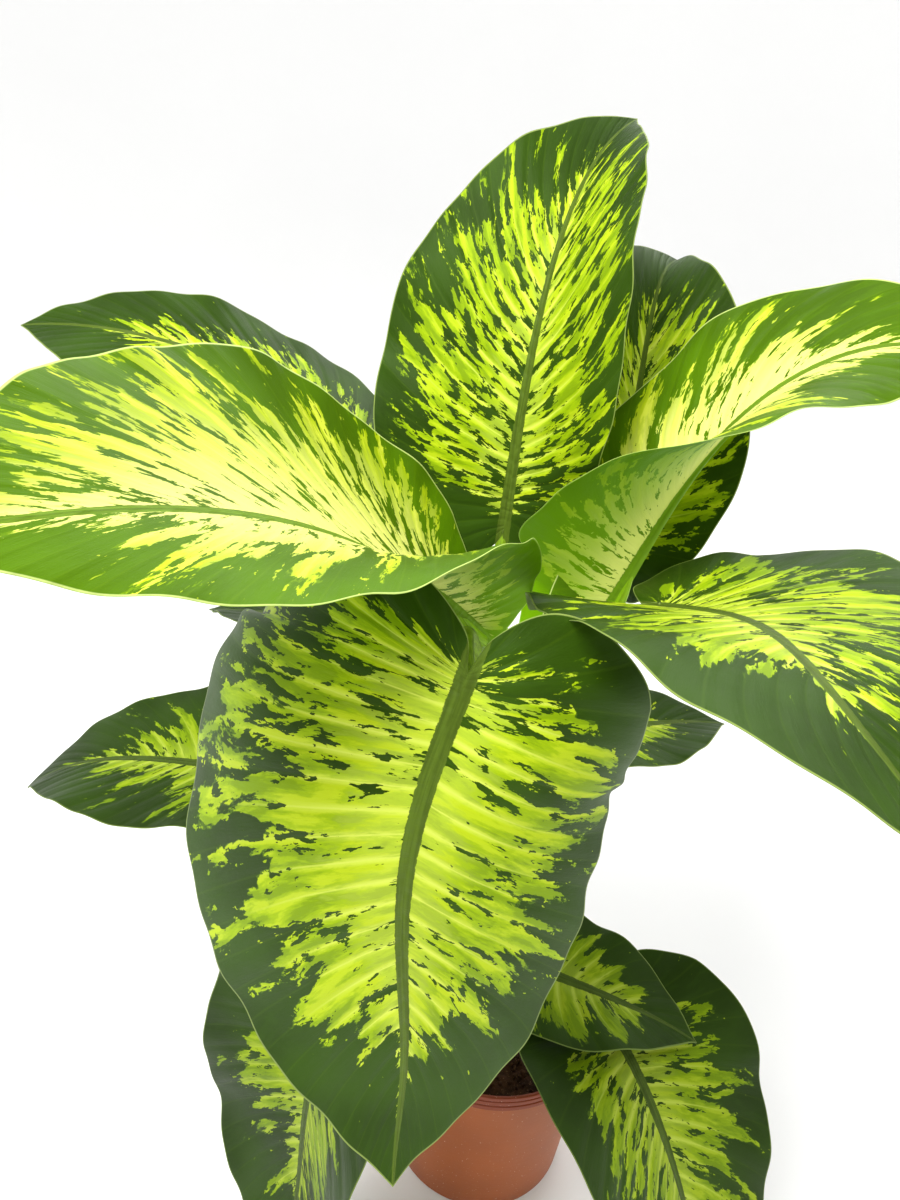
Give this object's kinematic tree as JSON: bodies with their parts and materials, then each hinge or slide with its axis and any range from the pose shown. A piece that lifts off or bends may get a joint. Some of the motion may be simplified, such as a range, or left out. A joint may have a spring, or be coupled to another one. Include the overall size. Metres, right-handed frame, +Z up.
{
  "type": "potted dieffenbachia",
  "caption": "House plant with large oval variegated leaves on arching stalks round one ringed cane, in a tapered plastic nursery pot filled with soil.",
  "frame": {"origin": "middle of the pot's underside, where it rests", "axes": "+Z up along the pot's axis, +X to the plant's right as seen from the front, -Y towards the viewer"},
  "size_m": [0.5748, 0.5127, 0.7539],
  "materials": {
    "pot": "satin",
    "soil": "matte",
    "cane": "satin",
    "leaf": "satin",
    "young_leaf": "satin"
  },
  "bodies": {
    "root": {"pot": "pot", "soil": "soil", "cane": "cane", "leaf_front": "leaf", "leaf_left_young": "young_leaf", "leaf_upright": "leaf", "leaf_right_young": "young_leaf", "leaf_right": "leaf", "leaf_back_left": "leaf", "leaf_back_right": "leaf", "leaf_small_right": "leaf", "leaf_hidden_left": "leaf", "leaf_low_left": "leaf", "leaf_bottom_left": "leaf", "leaf_bottom_small": "leaf", "leaf_bottom_right": "leaf"}
  },
  "joints": []
}
